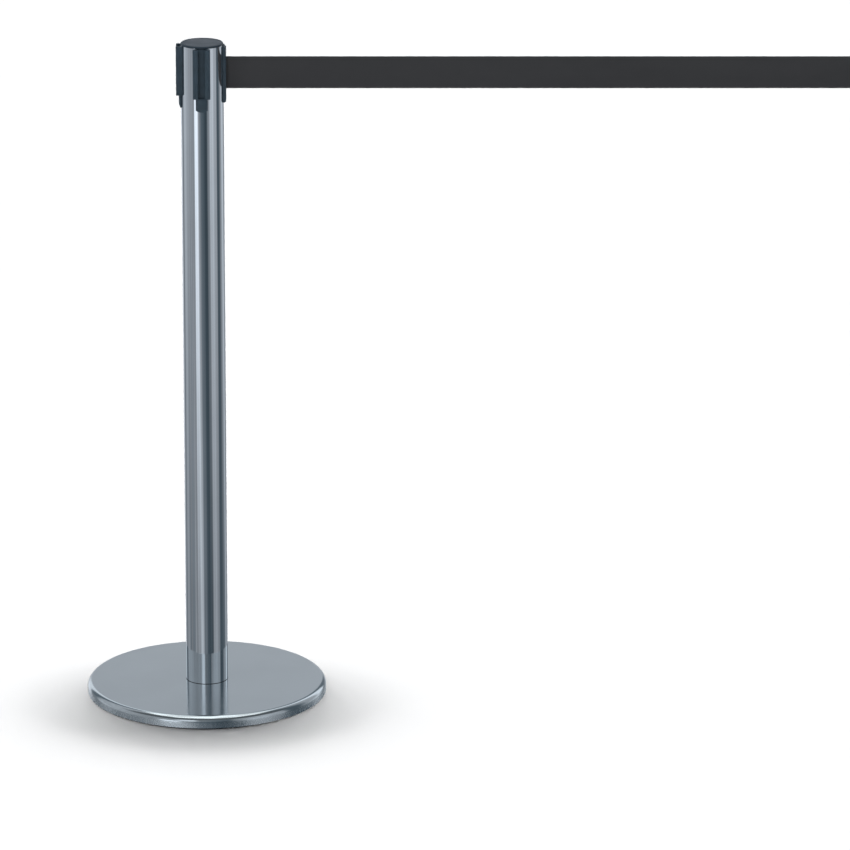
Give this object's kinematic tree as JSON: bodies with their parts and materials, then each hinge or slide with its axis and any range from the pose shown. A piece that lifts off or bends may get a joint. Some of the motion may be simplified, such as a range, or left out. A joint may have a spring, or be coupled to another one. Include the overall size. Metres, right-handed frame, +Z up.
{
  "type": "retractable belt stanchion",
  "caption": "Free-standing polished post on a round weighted base, with a spring belt cassette in its head, a belt drawn out to one side and receiver slots on the other sides.",
  "frame": {"origin": "on the floor, under the centre of the round base", "axes": "+Z up along the post, +X the way the belt leaves the head, -Y the front receiver"},
  "size_m": [1.2128, 0.36, 1.005],
  "materials": {
    "tube_chrome": "polished",
    "base_chrome": "polished, very slightly hazy",
    "head_plastic": "moulded, satin",
    "cap_plastic": "moulded, satin",
    "clip_plastic": "moulded, fine texture",
    "inner_plastic": "moulded",
    "white_plastic": "natural acetal",
    "belt": "woven polyester webbing",
    "rubber": "matt",
    "cast_iron": "painted casting",
    "zinc_steel": "zinc plated",
    "spring_steel": "blued spring strip",
    "bronze": "sintered bronze",
    "brake_lining": "friction lining",
    "black_screw": "blackened"
  },
  "bodies": {
    "post": {"floor_ring": "rubber", "base_weight": "cast_iron", "base_cover": "base_chrome", "base_washer": "zinc_steel", "base_spring_washer": "zinc_steel", "base_bolt": "zinc_steel", "tube_gasket": "rubber", "tube_foot_plug": "zinc_steel", "post_tube": "tube_chrome", "head_cap": "cap_plastic", "receiver_front": "head_plastic", "receiver_left": "head_plastic", "receiver_back": "head_plastic", "belt_outlet": "head_plastic", "outlet_screws": "black_screw", "cassette_body": "inner_plastic", "cassette_lid": "inner_plastic", "lid_screws": "zinc_steel", "spool_shaft": "zinc_steel", "shaft_clip": "spring_steel", "thrust_washer": "white_plastic", "spring_cup": "zinc_steel", "spring_cup_lid": "zinc_steel", "power_spring": "spring_steel", "brake_drum": "zinc_steel", "guide_pins": "zinc_steel", "belt_lead": "belt", "belt_span": "belt"},
    "spool": {"spool_arbor": "zinc_steel", "spool_bush_lower": "bronze", "spool_bush_upper": "bronze", "belt_spool": "white_plastic", "spool_flange_top": "white_plastic", "belt_anchor_pin": "zinc_steel", "wound_belt": "belt", "brake_carrier": "inner_plastic"},
    "brake_shoe_back": {"brake_shoe_back": "zinc_steel", "brake_lining_back": "brake_lining"},
    "brake_shoe_front": {"brake_shoe_front": "zinc_steel", "brake_lining_front": "brake_lining"},
    "guide_roller_back": {"guide_roller_back": "white_plastic"},
    "guide_roller_front": {"guide_roller_front": "white_plastic"},
    "end_clip": {"belt_end_loop": "belt", "belt_end_pin": "zinc_steel", "clip_body": "clip_plastic", "clip_cover": "clip_plastic", "clip_screws": "black_screw"}
  },
  "joints": [
    {"name": "belt_pull", "type": "slide", "parent": "post", "child": "end_clip", "axis": [1, 0, 0], "range_m": [-0.9585, 0], "deforming": ["belt_span"]},
    {"name": "spool_spin", "type": "hinge", "parent": "post", "child": "spool", "pos_m": [0, 0, 0.96], "axis": [0, 0, 1], "range_deg": [-5, 2804], "deforming": ["power_spring"]},
    {"name": "guide_roller_back_spin", "type": "hinge", "parent": "post", "child": "guide_roller_back", "pos_m": [0.0257, 0.00295, 0.96], "axis": [0, 0, 1], "range_deg": [-22893, 5]},
    {"name": "guide_roller_front_spin", "type": "hinge", "parent": "post", "child": "guide_roller_front", "pos_m": [0.0257, -0.00295, 0.96], "axis": [0, 0, 1], "range_deg": [-5, 22893]},
    {"name": "brake_shoe_back_slide", "type": "slide", "parent": "spool", "child": "brake_shoe_back", "axis": [0, 1, 0], "range_m": [0, 0.0005]},
    {"name": "brake_shoe_front_slide", "type": "slide", "parent": "spool", "child": "brake_shoe_front", "axis": [0, -1, 0], "range_m": [0, 0.0005]}
  ],
  "couplings": [
    {"joint": "spool_spin", "follows": "belt_pull", "rad_per_m": -50.975},
    {"joint": "guide_roller_back_spin", "follows": "belt_pull", "rad_per_m": 416.67},
    {"joint": "guide_roller_front_spin", "follows": "belt_pull", "rad_per_m": -416.67},
    {"joint": "brake_shoe_front_slide", "follows": "brake_shoe_back_slide", "ratio": 1}
  ]
}
